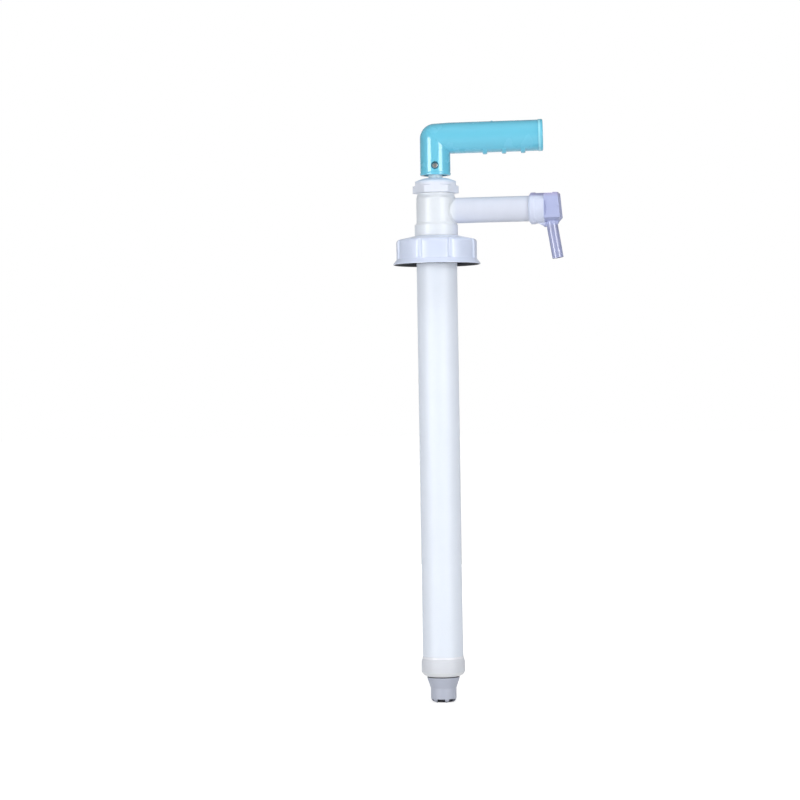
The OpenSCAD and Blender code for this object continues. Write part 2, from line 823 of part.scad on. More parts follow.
module grip_end_cap() {
    color("skyblue") rotate([0, 0, handle_turn]) along_grip() difference() {
        rotate([0, 90, 0]) rotate_extrude() polygon(concat(
            [
                [0, end_plug_start],
                [end_plug_r - edge_break, end_plug_start],
                [end_plug_r, end_plug_start + edge_break],
                [end_plug_r, grip_end],
                [end_cap_r, grip_end]
            ],
            arc(end_cap_r - end_round, grip_reach - end_round, end_round, 0, 90),
            [[0, grip_reach]]
        ));
        bar_x(end_plug_r - end_plug_wall, end_plug_start - overrun, grip_end);
    }
}

module handle_screw() {
    color("silver") rotate([0, 0, handle_turn]) translate([0, screw_seat_y, screw_z])
        rotate([90, 0, 0]) difference() {
            rotate_extrude() polygon(concat(
                [[0, -screw_length], [screw_r - edge_break, -screw_length]],
                [[screw_r, screw_r - screw_length], [screw_r, 0], [screw_head_r, 0]],
                arc(screw_head_flat, screw_head_t - screw_head_round, screw_head_round, 0, 90),
                [[0, screw_head_t]]
            ));
            for (turn = [45, 135])
                rotate([0, 0, turn])
                    translate([-screw_slot_length / 2, -screw_slot_width / 2, screw_slot_floor])
                        cube([screw_slot_length, screw_slot_width, screw_slot_depth + overrun]);
        }
}

module pump_rod() {
    color("white") difference() {
        rotate_extrude() polygon([
            [0, rod_low],
            [rod_r - rod_chamfer, rod_low],
            [rod_r, rod_low + rod_chamfer],
            [rod_r, rod_top - rod_chamfer],
            [rod_r - rod_chamfer, rod_top],
            [0, rod_top]
        ]);
        rotate([0, 0, handle_turn]) translate([0, rod_r + overrun, screw_z]) rotate([90, 0, 0])
            cylinder(r = screw_hole_r, h = 2 * (rod_r + overrun));
        translate([0, rod_r + overrun, pin_z]) rotate([90, 0, 0])
            cylinder(r = pin_r + pin_gap, h = 2 * (rod_r + overrun));
    }
}

module piston_body() {
    color("white") rotate_extrude() polygon([
        [piston_seat_r, piston_low],
        [piston_r - edge_break, piston_low],
        [piston_r, piston_low + edge_break],
        [piston_r, groove_low],
        [groove_r, groove_low],
        [groove_r, groove_low + piston_groove],
        [piston_r, groove_low + piston_groove],
        [piston_r, piston_top],
        [cage_skirt_r + glue_gap, piston_top],
        [cage_skirt_r + glue_gap, piston_cone_top],
        [piston_cone_top_r, piston_cone_top],
        [piston_seat_r, piston_seat_z]
    ]);
}

module piston_seal() {
    color("dimgray") ring(
        barrel_bore - seal_gap, groove_r + slide_gap,
        groove_low + slide_gap, groove_low + piston_groove - slide_gap
    );
}

module piston_cage() {
    color("white") difference() {
        union() {
            post(cage_skirt_r, cage_skirt_low, cage_top);
            post(cage_r, piston_top, cage_top);
        }
        post(cage_bore, cage_skirt_low - overrun, cage_stop);
        post(rod_r + glue_gap, cage_socket_floor, cage_top + overrun);
        for (i = [0 : window_count - 1])
            rotate([0, 0, i * 360 / window_count])
                translate([0, -window_width / 2, piston_top + edge_break])
                    cube([cage_r + overrun, window_width, cage_stop - piston_top - edge_break]);
        translate([0, cage_r + overrun, pin_z]) rotate([90, 0, 0])
            cylinder(r = pin_r + pin_gap, h = 2 * (cage_r + overrun));
    }
}

module piston_pin() {
    color("silver") translate([0, cage_r - edge_break, pin_z]) rotate([90, 0, 0])
        cylinder(r = pin_r, h = 2 * (cage_r - edge_break));
}

module piston_ball() {
    color("silver") translate([0, 0, piston_ball_z]) sphere(r = piston_ball_r);
}

module foot_collar() {
    color("gainsboro") rotate_extrude() polygon([
        [collar_hole_r, collar_low],
        [collar_hole_r + collar_lip, collar_low],
        [collar_hole_r + collar_lip, collar_low + collar_lip_height],
        [foot_collar_r - collar_lower_chamfer, collar_low + collar_lip_height],
        [foot_collar_r, collar_low + collar_lip_height + collar_chamfer_rise],
        [foot_collar_r, collar_top - collar_upper_chamfer],
        [foot_collar_r - collar_upper_inset, collar_top],
        [socket_r, collar_top],
        [socket_r, intake_flange_low],
        [collar_hole_r, intake_flange_low]
    ]);
}

module foot_gasket() {
    color("dimgray") ring(spigot_r, foot_gasket_bore, foot_gasket_low, barrel_low);
}

module collar_gasket() {
    color("dimgray") ring(collar_gasket_r, collar_gasket_bore, intake_shoulder, collar_low);
}

module intake_outline() {
    rotate_extrude() polygon(concat(
        [[0, intake_low]],
        arc(intake_r - intake_round, intake_low + intake_round, intake_round, 270, 360),
        [
            [intake_r, taper_low],
            [intake_top_r, intake_shoulder - edge_break],
            [intake_top_r, intake_shoulder],
            [collar_gasket_bore - glue_gap, intake_shoulder],
            [collar_gasket_bore - glue_gap, collar_low],
            [intake_neck_r, collar_low],
            [intake_neck_r, intake_flange_low],
            [intake_flange_r, intake_flange_low],
            [intake_flange_r, foot_gasket_low],
            [0, foot_gasket_low]
        ]
    ));
}

module foot_valve_body() {
    color("lightslategray") difference() {
        intake_outline();
        rotate_extrude() polygon([
            [0, intake_low - overrun],
            [inlet_ring_r + glue_gap, intake_low - overrun],
            [inlet_ring_r + glue_gap, inlet_ring_top],
            [inlet_bore, inlet_ring_top],
            [inlet_bore, inlet_top],
            [foot_seat_r, inlet_top],
            [foot_seat_r, foot_seat_z],
            [ball_channel_r, foot_cone_top],
            [ball_channel_r, cage_seat_z],
            [foot_cage_r + slide_gap, cage_seat_z],
            [foot_cage_r + slide_gap, foot_gasket_low + overrun],
            [0, foot_gasket_low + overrun]
        ]);
        for (i = [0 : slot_count - 1])
            rotate([0, 0, slot_turn + i * 180 / slot_count])
                translate([-intake_r - overrun, -slot_width / 2, intake_low - overrun])
                    cube([2 * (intake_r + overrun), slot_width, slot_height + overrun]);
    }
}

module inlet_ring() {
    color("darkslategray") ring(inlet_ring_r, inlet_bore, intake_low + inlet_ring_inset, inlet_ring_top);
}

module foot_valve_cage() {
    color("whitesmoke") difference() {
        post(foot_cage_r, cage_seat_z, foot_gasket_low);
        for (i = [0 : foot_hole_count - 1])
            rotate([0, 0, i * 360 / foot_hole_count]) translate([foot_hole_pitch_r, 0, 0])
                post(foot_hole_r, cage_seat_z - overrun, foot_gasket_low + overrun);
    }
}

module foot_valve_ball() {
    color("silver") translate([0, 0, foot_ball_z]) sphere(r = foot_ball_r);
}

handle();
grip_end_cap();
handle_screw();
pump_rod();
gland_nut();
gland_packing();
rod_guide();
pump_head();
spout_nozzle();
drum_cap();
cap_rim_seal();
clamp_flange();
drum_gasket();
barrel_tube();
head_seal();
foot_collar();
foot_gasket();
collar_gasket();
foot_valve_body();
inlet_ring();
foot_valve_cage();
foot_valve_ball();
piston_body();
piston_seal();
piston_cage();
piston_ball();
piston_pin();
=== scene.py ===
import json
import math

import bmesh
import bpy
from mathutils import Matrix, Vector


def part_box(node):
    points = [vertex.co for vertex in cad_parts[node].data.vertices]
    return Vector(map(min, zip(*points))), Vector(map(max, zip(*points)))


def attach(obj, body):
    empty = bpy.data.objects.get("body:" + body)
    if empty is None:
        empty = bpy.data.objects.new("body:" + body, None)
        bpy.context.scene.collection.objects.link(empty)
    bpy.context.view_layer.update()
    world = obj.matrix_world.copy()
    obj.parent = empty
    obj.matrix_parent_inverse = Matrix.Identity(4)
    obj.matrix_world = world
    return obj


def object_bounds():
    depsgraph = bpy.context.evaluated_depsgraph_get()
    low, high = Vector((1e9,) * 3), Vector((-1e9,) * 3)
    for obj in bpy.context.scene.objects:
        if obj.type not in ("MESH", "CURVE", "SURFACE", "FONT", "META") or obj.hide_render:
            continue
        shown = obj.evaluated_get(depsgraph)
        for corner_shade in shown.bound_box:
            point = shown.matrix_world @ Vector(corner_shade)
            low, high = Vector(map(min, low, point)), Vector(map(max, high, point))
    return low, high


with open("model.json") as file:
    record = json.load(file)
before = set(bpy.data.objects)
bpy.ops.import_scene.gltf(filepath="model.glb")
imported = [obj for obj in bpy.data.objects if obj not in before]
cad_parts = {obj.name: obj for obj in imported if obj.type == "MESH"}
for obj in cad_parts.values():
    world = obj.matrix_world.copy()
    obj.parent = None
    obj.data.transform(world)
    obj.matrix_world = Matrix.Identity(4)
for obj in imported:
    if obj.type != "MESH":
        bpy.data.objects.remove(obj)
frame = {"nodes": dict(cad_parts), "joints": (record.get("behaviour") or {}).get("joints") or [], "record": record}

MM = 0.001
nodes = frame["nodes"]
cad_low, cad_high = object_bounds()


# ---- Places taken from the frame ----

def low(node, axis):
    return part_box(node)[0][axis]


def high(node, axis):
    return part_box(node)[1][axis]


X, Z = 0, 2
SPOUT_Z = next(j for j in frame["joints"] if j["name"] == "nozzle_turn")["pos_m"][Z]
BARREL_R = high("barrel_tube", X)
COLLAR_LOW, COLLAR_TOP = low("foot_collar", Z), high("foot_collar", Z)
NUT_TOP = high("gland_nut", Z)
LEG_LOW = low("handle", Z)

# Sizes of the solids that their boxes don't show.
SPOUT_R = 8.15 * MM
HEAD_BODY_R = 12.55 * MM
HEAD_BODY_TOP = 31 * MM
LEG_R, GRIP_R = 9.5 * MM, 9.85 * MM
GRIP_Z = 69.4 * MM
GRIP_END, GRIP_REACH = 66 * MM, 69 * MM
HANDLE_TURN = math.radians(7)
GRIP_RISE = math.radians(0.8)
BLOCK_LEFT = 70.2 * MM

along_spout = Vector((1, 0, 0))
up = Vector((0, 0, 1))
grip_out = Vector((math.cos(HANDLE_TURN), math.sin(HANDLE_TURN), 0))
grip_side = Vector((-grip_out.y, grip_out.x, 0))
along_grip = grip_out * math.cos(GRIP_RISE) + up * math.sin(GRIP_RISE)
across_grip = up * math.cos(GRIP_RISE) - grip_out * math.sin(GRIP_RISE)


# ---- Camera ----
# The photograph is level at the middle of the pump, and the spout comes a little towards the camera.

CAMERA_AZIMUTH = math.radians(-80.5)
CAMERA_DISTANCE = 1.683
CAMERA_HALF_ANGLE = math.radians(8.65)
CAMERA_ROLL = math.radians(0.92)
SENSOR = 36
AIM_HEIGHT = -0.0975
AXIS_OFFSET = 0.0250

towards_camera = Vector((math.cos(CAMERA_AZIMUTH), math.sin(CAMERA_AZIMUTH), 0))
camera_right = Vector((-towards_camera.y, towards_camera.x, 0))


def add_camera():
    data = bpy.data.cameras.new("camera")
    data.sensor_width = SENSOR
    data.lens = SENSOR / 2 / math.tan(CAMERA_HALF_ANGLE)
    camera = bpy.data.objects.new("camera", data)
    bpy.context.scene.collection.objects.link(camera)
    aim = up * AIM_HEIGHT - camera_right * AXIS_OFFSET
    level = Matrix((camera_right, up, towards_camera)).transposed()
    camera.matrix_world = (
        Matrix.Translation(aim + towards_camera * CAMERA_DISTANCE)
        @ (level @ Matrix.Rotation(-CAMERA_ROLL, 3, "Z")).to_4x4()
    )
    bpy.context.scene.camera = camera


# ---- Studio ----

LEFT_ANGLE, RIGHT_ANGLE = -49, 41
KEY_DISTANCE = 1.35
LEFT_HEIGHT, RIGHT_HEIGHT = -0.02, 0.03
LEFT_SIZE, RIGHT_SIZE = (0.62, 0.52), (0.62, 0.64)
LEFT_POWER, RIGHT_POWER = 9.2, 9.5
LOW_HEIGHT = -0.55
LOW_SIZE = (0.6, 0.4)
LOW_POWER = 1.2
TARGET_HEIGHT = -0.07
OVERHEAD_DISTANCE, OVERHEAD_HEIGHT = 0.4, 1.1
OVERHEAD_SIZE = (0.9, 0.7)
OVERHEAD_POWER = 5.5
BACK_HEIGHT = 0.1
BACK_SIZE = (0.9, 0.8)
BACK_POWER = 10
FLOOR_HALF = 12
FLOOR_GAP = 0.05 * MM
FLOOR_GREY, FLOOR_SHADOW_GREY = (0.6, 0.6, 0.6, 1), (0.4, 0.4, 0.4, 1)
GLOW_LEAST = 0.8
GLOW_NEAR, GLOW_FAR = 0.05, 0.45
GLOW_MIRRORED = 0.45
ROOM = 0.17
ROOM_COLOUR = (0.95, 0.97, 1, 1)
BACKDROP_EDGE, BACKDROP_FULL, BESIDE_BACKDROP = 0.92, 0.99, 0.22


def add_softbox(name, angle, distance, height, size, energy, mirrored=True):
    """A softbox that stands angle degrees right of the camera, seen from the pump, and faces it.
    Where it isn't mirrored, it lights the pump and leaves no highlight."""
    data = bpy.data.lights.new(name, "AREA")
    data.shape = "RECTANGLE"
    data.size, data.size_y = size
    data.energy = energy
    lamp = bpy.data.objects.new(name, data)
    bpy.context.scene.collection.objects.link(lamp)
    turn = math.radians(angle)
    place = (towards_camera * math.cos(turn) + camera_right * math.sin(turn)) * distance
    place.z = height
    lamp.location = place
    lamp.rotation_euler = (place - up * TARGET_HEIGHT).to_track_quat("Z", "Y").to_euler()
    lamp.visible_camera = False
    lamp.visible_glossy = mirrored


def add_floor():
    half = FLOOR_HALF
    mesh = bpy.data.meshes.new("floor")
    mesh.from_pydata(
        [(-half, -half, 0), (half, -half, 0), (half, half, 0), (-half, half, 0)], [], [(0, 1, 2, 3)]
    )
    floor = bpy.data.objects.new("floor", mesh)
    floor.location.z = cad_low.z - FLOOR_GAP
    bpy.context.scene.collection.objects.link(floor)
    material = bpy.data.materials.new("floor")
    material.use_nodes = True
    tree = material.node_tree
    tree.nodes.clear()
    output = tree.nodes.new("ShaderNodeOutputMaterial")
    seen = tree.nodes.new("ShaderNodeMixShader")
    lit = tree.nodes.new("ShaderNodeBsdfDiffuse")
    lit.inputs["Color"].default_value = FLOOR_GREY
    shadow = tree.nodes.new("ShaderNodeBsdfDiffuse")
    shadow.inputs["Color"].default_value = FLOOR_SHADOW_GREY
    glow = tree.nodes.new("ShaderNodeEmission")
    place = tree.nodes.new("ShaderNodeTexCoord")
    distance = tree.nodes.new("ShaderNodeVectorMath")
    distance.operation = "LENGTH"
    fade = tree.nodes.new("ShaderNodeMapRange")
    numbers = (("From Min", GLOW_NEAR), ("From Max", GLOW_FAR), ("To Min", GLOW_LEAST), ("To Max", 1))
    for name, number in numbers:
        fade.inputs[name].default_value = number
    tree.links.new(place.outputs["Object"], distance.inputs[0])
    tree.links.new(distance.outputs["Value"], fade.inputs["Value"])
    mirrored = tree.nodes.new("ShaderNodeMath")
    mirrored.operation = "MAXIMUM"
    mirrored.inputs[1].default_value = GLOW_MIRRORED
    tree.links.new(tree.nodes.new("ShaderNodeLightPath").outputs["Is Camera Ray"], mirrored.inputs[0])
    strength = tree.nodes.new("ShaderNodeMath")
    strength.operation = "MULTIPLY"
    tree.links.new(fade.outputs[0], strength.inputs[0])
    tree.links.new(mirrored.outputs[0], strength.inputs[1])
    tree.links.new(strength.outputs[0], glow.inputs["Strength"])
    both = tree.nodes.new("ShaderNodeAddShader")
    tree.links.new(seen_ray(tree), seen.inputs[0])
    tree.links.new(lit.outputs[0], seen.inputs[1])
    tree.links.new(shadow.outputs[0], both.inputs[0])
    tree.links.new(glow.outputs[0], both.inputs[1])
    tree.links.new(both.outputs[0], seen.inputs[2])
    tree.links.new(seen.outputs[0], output.inputs["Surface"])
    mesh.materials.append(material)


def seen_ray(tree):
    """1 for rays that show the background: straight from the camera, mirrored or through glass."""
    path = tree.nodes.new("ShaderNodeLightPath")
    total = path.outputs["Is Camera Ray"]
    for name in ("Is Glossy Ray", "Is Transmission Ray"):
        larger = tree.nodes.new("ShaderNodeMath")
        larger.operation = "MAXIMUM"
        tree.links.new(total, larger.inputs[0])
        tree.links.new(path.outputs[name], larger.inputs[1])
        total = larger.outputs[0]
    return total


def add_world():
    """White behind the pump. Mirrors see that white behind it too, and a dimmer room elsewhere."""
    world = bpy.data.worlds.new("studio")
    world.use_nodes = True
    tree = world.node_tree
    tree.nodes.clear()
    output = tree.nodes.new("ShaderNodeOutputWorld")
    mix = tree.nodes.new("ShaderNodeMixShader")
    room = tree.nodes.new("ShaderNodeBackground")
    room.inputs["Color"].default_value = ROOM_COLOUR
    room.inputs["Strength"].default_value = ROOM
    white = tree.nodes.new("ShaderNodeBackground")
    white.inputs["Color"].default_value = (1, 1, 1, 1)
    behind = tree.nodes.new("ShaderNodeVectorMath")
    behind.operation = "DOT_PRODUCT"
    behind.inputs[1].default_value = -towards_camera
    tree.links.new(tree.nodes.new("ShaderNodeTexCoord").outputs["Generated"], behind.inputs[0])
    backdrop = tree.nodes.new("ShaderNodeMapRange")
    backdrop.interpolation_type = "SMOOTHSTEP"
    for name, number in (
        ("From Min", BACKDROP_EDGE), ("From Max", BACKDROP_FULL), ("To Min", BESIDE_BACKDROP), ("To Max", 1)
    ):
        backdrop.inputs[name].default_value = number
    tree.links.new(behind.outputs["Value"], backdrop.inputs["Value"])
    strength = tree.nodes.new("ShaderNodeMath")
    strength.operation = "MAXIMUM"
    tree.links.new(backdrop.outputs[0], strength.inputs[0])
    tree.links.new(tree.nodes.new("ShaderNodeLightPath").outputs["Is Camera Ray"], strength.inputs[1])
    tree.links.new(strength.outputs[0], white.inputs["Strength"])
    tree.links.new(seen_ray(tree), mix.inputs[0])
    tree.links.new(room.outputs[0], mix.inputs[1])
    tree.links.new(white.outputs[0], mix.inputs[2])
    tree.links.new(mix.outputs[0], output.inputs["Surface"])
    bpy.context.scene.world = world


# ---- Materials ----

def srgb(red, green, blue):
    """A colour as it is read from a picture, 0 to 255, as the linear values that shaders take."""
    def linear(value):
        value /= 255
        return value / 12.92 if value <= 0.04045 else ((value + 0.055) / 1.055) ** 2.4
    return (linear(red), linear(green), linear(blue), 1)


EDGE_SAMPLES = 6
EDGE_START, EDGE_FULL = 0.998, 0.93
CREVICE_START, CREVICE_FULL = 0.95, 0.45
CREVICE_REACH = 1.2 * MM
PLASTIC_IOR = 1.49
GLOW_COLOURS = (1, 0.95, 0.9)
GLOW_DEPTH = 1.2 * MM


class Tree:
    """A material's node tree with short calls for the nodes that the finishes share."""

    def __init__(self, name):
        self.material = bpy.data.materials.new(name)
        self.material.use_nodes = True
        self.tree = self.material.node_tree
        self.tree.nodes.clear()
        output = self.add("ShaderNodeOutputMaterial")
        self.shader = self.add("ShaderNodeBsdfPrincipled")
        self.link(self.shader.outputs[0], output.inputs["Surface"])
        self.place = self.add("ShaderNodeTexCoord").outputs["Object"]

    def add(self, kind):
        return self.tree.nodes.new(kind)

    def link(self, source, target):
        self.tree.links.new(source, target)

    def noise(self, scale, detail=3, stretch=None, roughness=0.5):
        """Noise with scale cycles in a metre, drawn out along an axis where stretch says."""
        place = self.place
        if stretch:
            mapping = self.add("ShaderNodeMapping")
            mapping.inputs["Scale"].default_value = stretch
            self.link(place, mapping.inputs["Vector"])
            place = mapping.outputs[0]
        node = self.add("ShaderNodeTexNoise")
        node.inputs["Scale"].default_value = scale
        node.inputs["Detail"].default_value = detail
        node.inputs["Roughness"].default_value = roughness
        self.link(place, node.inputs["Vector"])
        return node.outputs["Fac"]

    def ranged(self, value, start, end, low_out, high_out):
        """value from start to end, as low_out to high_out."""
        node = self.add("ShaderNodeMapRange")
        numbers = (("From Min", start), ("From Max", end), ("To Min", low_out), ("To Max", high_out))
        for name, number in numbers:
            node.inputs[name].default_value = number
        self.link(value, node.inputs["Value"])
        return node.outputs[0]

    def math(self, operation, first, second):
        node = self.add("ShaderNodeMath")
        node.operation = operation
        for socket, value in zip(node.inputs, (first, second)):
            if isinstance(value, (int, float)):
                socket.default_value = value
            else:
                self.link(value, socket)
        return node.outputs[0]

    def blend(self, factor, first, second):
        """first where factor is 0 and second where it is 1; each is a colour or a socket."""
        node = self.add("ShaderNodeMix")
        node.data_type = "RGBA"
        self.link(factor, node.inputs["Factor"])
        for socket, value in zip((node.inputs[6], node.inputs[7]), (first, second)):
            if isinstance(value, tuple):
                socket.default_value = value
            else:
                self.link(value, socket)
        return node.outputs[2]

    def tint(self, factor, colour, share):
        """colour, times share where factor is 1."""
        node = self.add("ShaderNodeMix")
        node.data_type = "RGBA"
        node.blend_type = "MULTIPLY"
        self.link(factor, node.inputs["Factor"])
        if isinstance(colour, tuple):
            node.inputs[6].default_value = colour
        else:
            self.link(colour, node.inputs[6])
        node.inputs[7].default_value = (share, share, share, 1)
        return node.outputs[2]

    def along(self, direction, start, end):
        """0 up to start and 1 from end, measured in metres along a direction from the frame's origin."""
        dot = self.add("ShaderNodeVectorMath")
        dot.operation = "DOT_PRODUCT"
        dot.inputs[1].default_value = direction
        self.link(self.place, dot.inputs[0])
        return self.ranged(dot.outputs["Value"], start, end, 0, 1)

    def round_edges(self, radius):
        """The surface's normal with its sharp edges rounded."""
        node = self.add("ShaderNodeBevel")
        node.samples = EDGE_SAMPLES
        node.inputs["Radius"].default_value = radius
        return node.outputs[0]

    def edge_mask(self, rounded):
        """1 on edges, 0 on open faces: how far the rounded normal leans from the face's own."""
        geometry = self.add("ShaderNodeNewGeometry")
        dot = self.add("ShaderNodeVectorMath")
        dot.operation = "DOT_PRODUCT"
        self.link(rounded, dot.inputs[0])
        self.link(geometry.outputs["Normal"], dot.inputs[1])
        return self.ranged(dot.outputs["Value"], EDGE_START, EDGE_FULL, 0, 1)

    def crevices(self, distance):
        """1 in grooves and corners narrower than distance, 0 in the open."""
        node = self.add("ShaderNodeAmbientOcclusion")
        node.samples = EDGE_SAMPLES
        node.inputs["Distance"].default_value = distance
        return self.ranged(node.outputs["AO"], CREVICE_START, CREVICE_FULL, 0, 1)

    def bump(self, height, strength, distance, normal=None):
        node = self.add("ShaderNodeBump")
        node.inputs["Strength"].default_value = strength
        node.inputs["Distance"].default_value = distance
        self.link(height, node.inputs["Height"])
        if normal:
            self.link(normal, node.inputs["Normal"])
        return node.outputs[0]


def plastic(
    name, colour, shade, roughness=0.3, glow=0.0, drawn=(1, 1, 0.25), coat=0.0, coat_roughness=0.1,
    coat_zone=None, mottle=1.0, softness=0.35 * MM, zones=()
):
    """Moulded plastic: cloudy colour, flow marks, orange peel, light worn edges, dust specks and painted
    shade in the corners. shade is the colour of the dust specks and of the shade painted into corners and
    grooves; drawn stretches the flow marks along an axis; mottle says how strongly cloud and flow show.
    Each zone is a direction, where it starts, where it is full, and its colour. The coat lies where
    coat_zone says, or all over."""
    t = Tree(name)
    cloud = t.ranged(t.noise(45, 4, roughness=0.55), 0.3, 0.7, 0, 1)
    flow = t.ranged(t.noise(190, 5, drawn), 0.35, 0.68, 0, 1)
    speck = t.ranged(t.noise(2600, 2), 0.66, 0.74, 0, 1)
    rounded = t.round_edges(softness)
    edge = t.edge_mask(rounded)
    corner_shade = t.crevices(CREVICE_REACH)
    base = colour
    for direction, start, end, zone_colour in zones:
        base = t.blend(t.along(direction, start, end), base, zone_colour)
    base = t.tint(t.math("MULTIPLY", cloud, 0.5 * mottle), base, 0.93)
    base = t.tint(t.math("MULTIPLY", flow, 0.16 * mottle), base, 0.9)
    base = t.blend(t.math("MULTIPLY", speck, 0.18), base, shade)
    # Painted shade: the colour darkens towards shade in grooves and corners that ambient occlusion finds.
    base = t.blend(t.math("MULTIPLY", corner_shade, 0.22), base, shade)
    base = t.tint(t.math("MULTIPLY", edge, 0.35), base, 1.08)
    t.link(base, t.shader.inputs["Base Color"])
    streaks = t.math("MULTIPLY", flow, 0.05 * mottle)
    uneven = t.ranged(cloud, 0, 1, roughness - 0.03, roughness + 0.04)
    t.link(t.math("ADD", uneven, streaks), t.shader.inputs["Roughness"])
    peel = t.bump(t.noise(1500, 2), 0.12, 0.03 * MM, rounded)
    t.link(t.bump(flow, 0.1 * mottle, 0.04 * MM, peel), t.shader.inputs["Normal"])
    t.shader.inputs["IOR"].default_value = PLASTIC_IOR
    if glow:
        t.shader.inputs["Subsurface Weight"].default_value = glow
        t.shader.inputs["Subsurface Radius"].default_value = GLOW_COLOURS
        t.shader.inputs["Subsurface Scale"].default_value = GLOW_DEPTH
    if coat:
        t.shader.inputs["Coat Weight"].default_value = coat
        t.shader.inputs["Coat Roughness"].default_value = coat_roughness
    if coat_zone:
        t.link(t.math("MULTIPLY", t.along(*coat_zone), coat), t.shader.inputs["Coat Weight"])
    return t.material


def rubber(name):
    t = Tree(name)
    cloud = t.ranged(t.noise(160, 4), 0.3, 0.7, 0, 1)
    dust = t.ranged(t.noise(1900, 3), 0.58, 0.72, 0, 1)
    rounded = t.round_edges(0.25 * MM)
    base = t.blend(cloud, (0.006, 0.007, 0.012, 1), (0.014, 0.015, 0.024, 1))
    base = t.blend(t.math("MULTIPLY", dust, 0.15), base, (0.07, 0.07, 0.08, 1))
    t.link(base, t.shader.inputs["Base Color"])
    t.link(t.ranged(cloud, 0, 1, 0.5, 0.68), t.shader.inputs["Roughness"])
    t.link(t.bump(t.noise(1400, 3), 0.25, 0.04 * MM, rounded), t.shader.inputs["Normal"])
    return t.material


def steel(name):
    t = Tree(name)
    cloud = t.ranged(t.noise(500, 4), 0.3, 0.7, 0, 1)
    stain = t.ranged(t.noise(900, 4), 0.55, 0.7, 0, 1)
    rounded = t.round_edges(0.12 * MM)
    base = t.blend(cloud, (0.86, 0.84, 0.8, 1), (0.5, 0.48, 0.46, 1))
    base = t.blend(t.math("MULTIPLY", stain, 0.55), base, (0.32, 0.17, 0.08, 1))
    t.link(base, t.shader.inputs["Base Color"])
    t.link(t.ranged(cloud, 0, 1, 0.18, 0.34), t.shader.inputs["Roughness"])
    t.link(t.bump(t.noise(1100, 2), 0.8, 0.1 * MM, rounded), t.shader.inputs["Normal"])
    t.shader.inputs["Metallic"].default_value = 1
    return t.material


SKY_BLUE = srgb(110, 202, 229)
# Painted highlight on the grip end cap's lip.
END_HIGHLIGHT_BLUE = srgb(156, 230, 248)
CREAM = srgb(230, 235, 241)
PIPE_BLUISH = srgb(218, 223, 237)
NUT_WHITE = srgb(230, 235, 247)
# Painted reflection of the blue handle on the nut's top.
DOME_REFLECTED_BLUE = srgb(216, 232, 252)
# Painted reflection and light: the rod's pale blue under the handle.
ROD_REFLECTED_BLUE = srgb(228, 247, 255)
CAP_BLUISH = srgb(220, 229, 250)
BLOCK_LAVENDER = srgb(180, 188, 226)
# Painted light: the nozzle socket's lighter colour.
SOCKET_LIT_LAVENDER = srgb(217, 224, 244)
# Painted shade: the nozzle's darker top.
TOP_SHADED_LAVENDER = srgb(172, 170, 208)
# Painted shade: the outlet tube's darker colour.
TUBE_SHADED_LAVENDER = srgb(160, 166, 203)
BARREL_COOL = srgb(236, 243, 255)
BEAD_WHITE = srgb(246, 247, 255)
COLLAR_GREY = srgb(223, 226, 233)
# Painted light: the foot collar's lighter lower lip.
COLLAR_LIT_LIP = srgb(246, 248, 252)
INTAKE_GREY = srgb(192, 197, 212)
# Shade colours: the colour of dust specks and of the shade painted into corners and grooves.
CREAM_SHADE = srgb(190, 186, 172)
COOL_SHADE = srgb(150, 156, 190)
LAVENDER_SHADE = srgb(120, 124, 176)
BLUE_SHADE = srgb(50, 120, 166)
GREY_SHADE = srgb(70, 74, 88)

blue_look = {"roughness": 0.25, "glow": 0.05, "coat": 0.7, "coat_roughness": 0.08, "mottle": 0.12}
finishes = {
    "blue_plastic": plastic("blue_plastic", SKY_BLUE, BLUE_SHADE, **blue_look),
    "white_plastic": plastic("white_plastic", NUT_WHITE, COOL_SHADE, 0.42, 0.15),
    "cream_plastic": plastic(
        "cream_plastic", CREAM, CREAM_SHADE, 0.38, 0.1, coat=0.08, coat_roughness=0.14,
        zones=[(along_spout, 11 * MM, 14.5 * MM, PIPE_BLUISH)]
    ),
    "cap_plastic": plastic(
        "cap_plastic", CAP_BLUISH, COOL_SHADE, 0.3, 0.15, coat=0.3, coat_roughness=0.12
    ),
    "lavender_plastic": plastic(
        "lavender_plastic", BLOCK_LAVENDER, LAVENDER_SHADE, 0.42, 0.1, coat=1.0, coat_roughness=0.07,
        coat_zone=(up, SPOUT_Z - 9 * MM, SPOUT_Z - 11 * MM), zones=[
            # Painted light: the socket left of the block is lighter, standing in for the light on its curved face.
            (along_spout, BLOCK_LEFT + 0.2 * MM, BLOCK_LEFT - 0.3 * MM, SOCKET_LIT_LAVENDER),
            # Painted shade: the nozzle's top strip is darker.
            (up, SPOUT_Z + 6.6 * MM, SPOUT_Z + 8.6 * MM, TOP_SHADED_LAVENDER),
            # Painted shade: the tube below the block is darker, standing in for the dark room mirrored between its
            # highlights.
            (up, SPOUT_Z - 9.5 * MM, SPOUT_Z - 11.5 * MM, TUBE_SHADED_LAVENDER)
        ]
    ),
    "barrel_plastic": plastic(
        "barrel_plastic", BARREL_COOL, COOL_SHADE, 0.46, 0.12, (1, 1, 0.03), mottle=0.6
    ),
    "collar_plastic": plastic(
        "collar_plastic", COLLAR_GREY, CREAM_SHADE, 0.5, 0.1,
        # Painted light: the collar's lowest 2.3 mm is lighter, against the shade where the intake meets it.
        zones=[(up, COLLAR_LOW + 3.1 * MM, COLLAR_LOW + 2.3 * MM, COLLAR_LIT_LIP)]
    ),
    "grey_plastic": plastic("grey_plastic", INTAKE_GREY, GREY_SHADE, 0.4, 0.05),
    "black_rubber": rubber("black_rubber"),
    "steel": steel("steel"),
}
